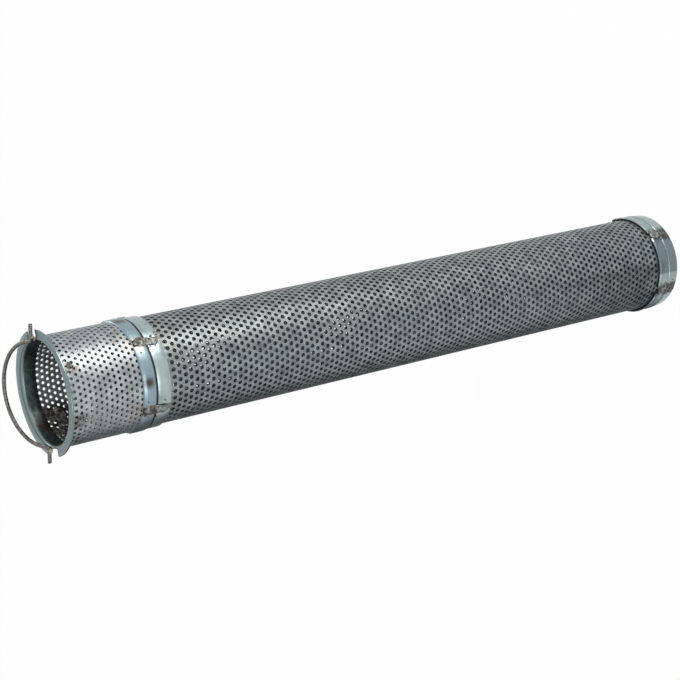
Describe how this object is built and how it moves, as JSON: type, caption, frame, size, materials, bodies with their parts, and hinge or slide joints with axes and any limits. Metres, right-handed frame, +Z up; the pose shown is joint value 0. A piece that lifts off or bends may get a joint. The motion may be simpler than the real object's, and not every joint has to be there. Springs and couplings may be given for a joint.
{
  "type": "hydraulic filter",
  "caption": "Long tubular strainer of perforated steel with a flanged mouth, a wire bail, banded joint and closed end.",
  "frame": {"origin": "centre of the end cap's outer face, on the surface that it stands on", "axes": "+Z up the tube's axis to the open mouth, +X through the first foot of the bail"},
  "size_m": [0.077, 0.07, 0.4566],
  "materials": {
    "zinc_sheet": "zinc plated, satin",
    "neck_sheet": "perforated, satin",
    "tube_sheet": "perforated, satin",
    "liner_sheet": "dull",
    "bail_wire": "drawn wire, dull",
    "braze": "as brazed",
    "weld_metal": "as welded, heat tinted"
  },
  "bodies": {
    "root": {"mouth_collar": "zinc_sheet", "neck_tube": "neck_sheet", "outer_tube": "tube_sheet", "inner_tube": "liner_sheet", "joint_ring": "liner_sheet", "end_cap": "zinc_sheet", "bail_handle": "bail_wire", "bail_braze_1": "braze", "bail_braze_2": "braze", "neck_band_1": "zinc_sheet", "neck_band_2": "zinc_sheet", "neck_band_3": "zinc_sheet", "neck_band_4": "zinc_sheet", "neck_band_5": "zinc_sheet", "joint_band_1": "zinc_sheet", "joint_band_2": "zinc_sheet", "joint_band_3": "zinc_sheet", "joint_band_4": "zinc_sheet", "joint_band_5": "zinc_sheet", "tail_band_1": "zinc_sheet", "tail_band_2": "zinc_sheet", "tail_band_3": "zinc_sheet", "tail_band_4": "zinc_sheet", "tail_band_5": "zinc_sheet", "joint_weld_1": "weld_metal", "joint_weld_2": "weld_metal", "joint_weld_3": "weld_metal", "joint_weld_4": "weld_metal", "joint_weld_5": "weld_metal", "end_weld_1": "weld_metal", "end_weld_2": "weld_metal", "end_weld_3": "weld_metal", "end_weld_4": "weld_metal", "end_weld_5": "weld_metal", "collar_weld_1": "weld_metal", "collar_weld_2": "weld_metal", "collar_weld_3": "weld_metal", "collar_weld_4": "weld_metal"}
  },
  "joints": []
}
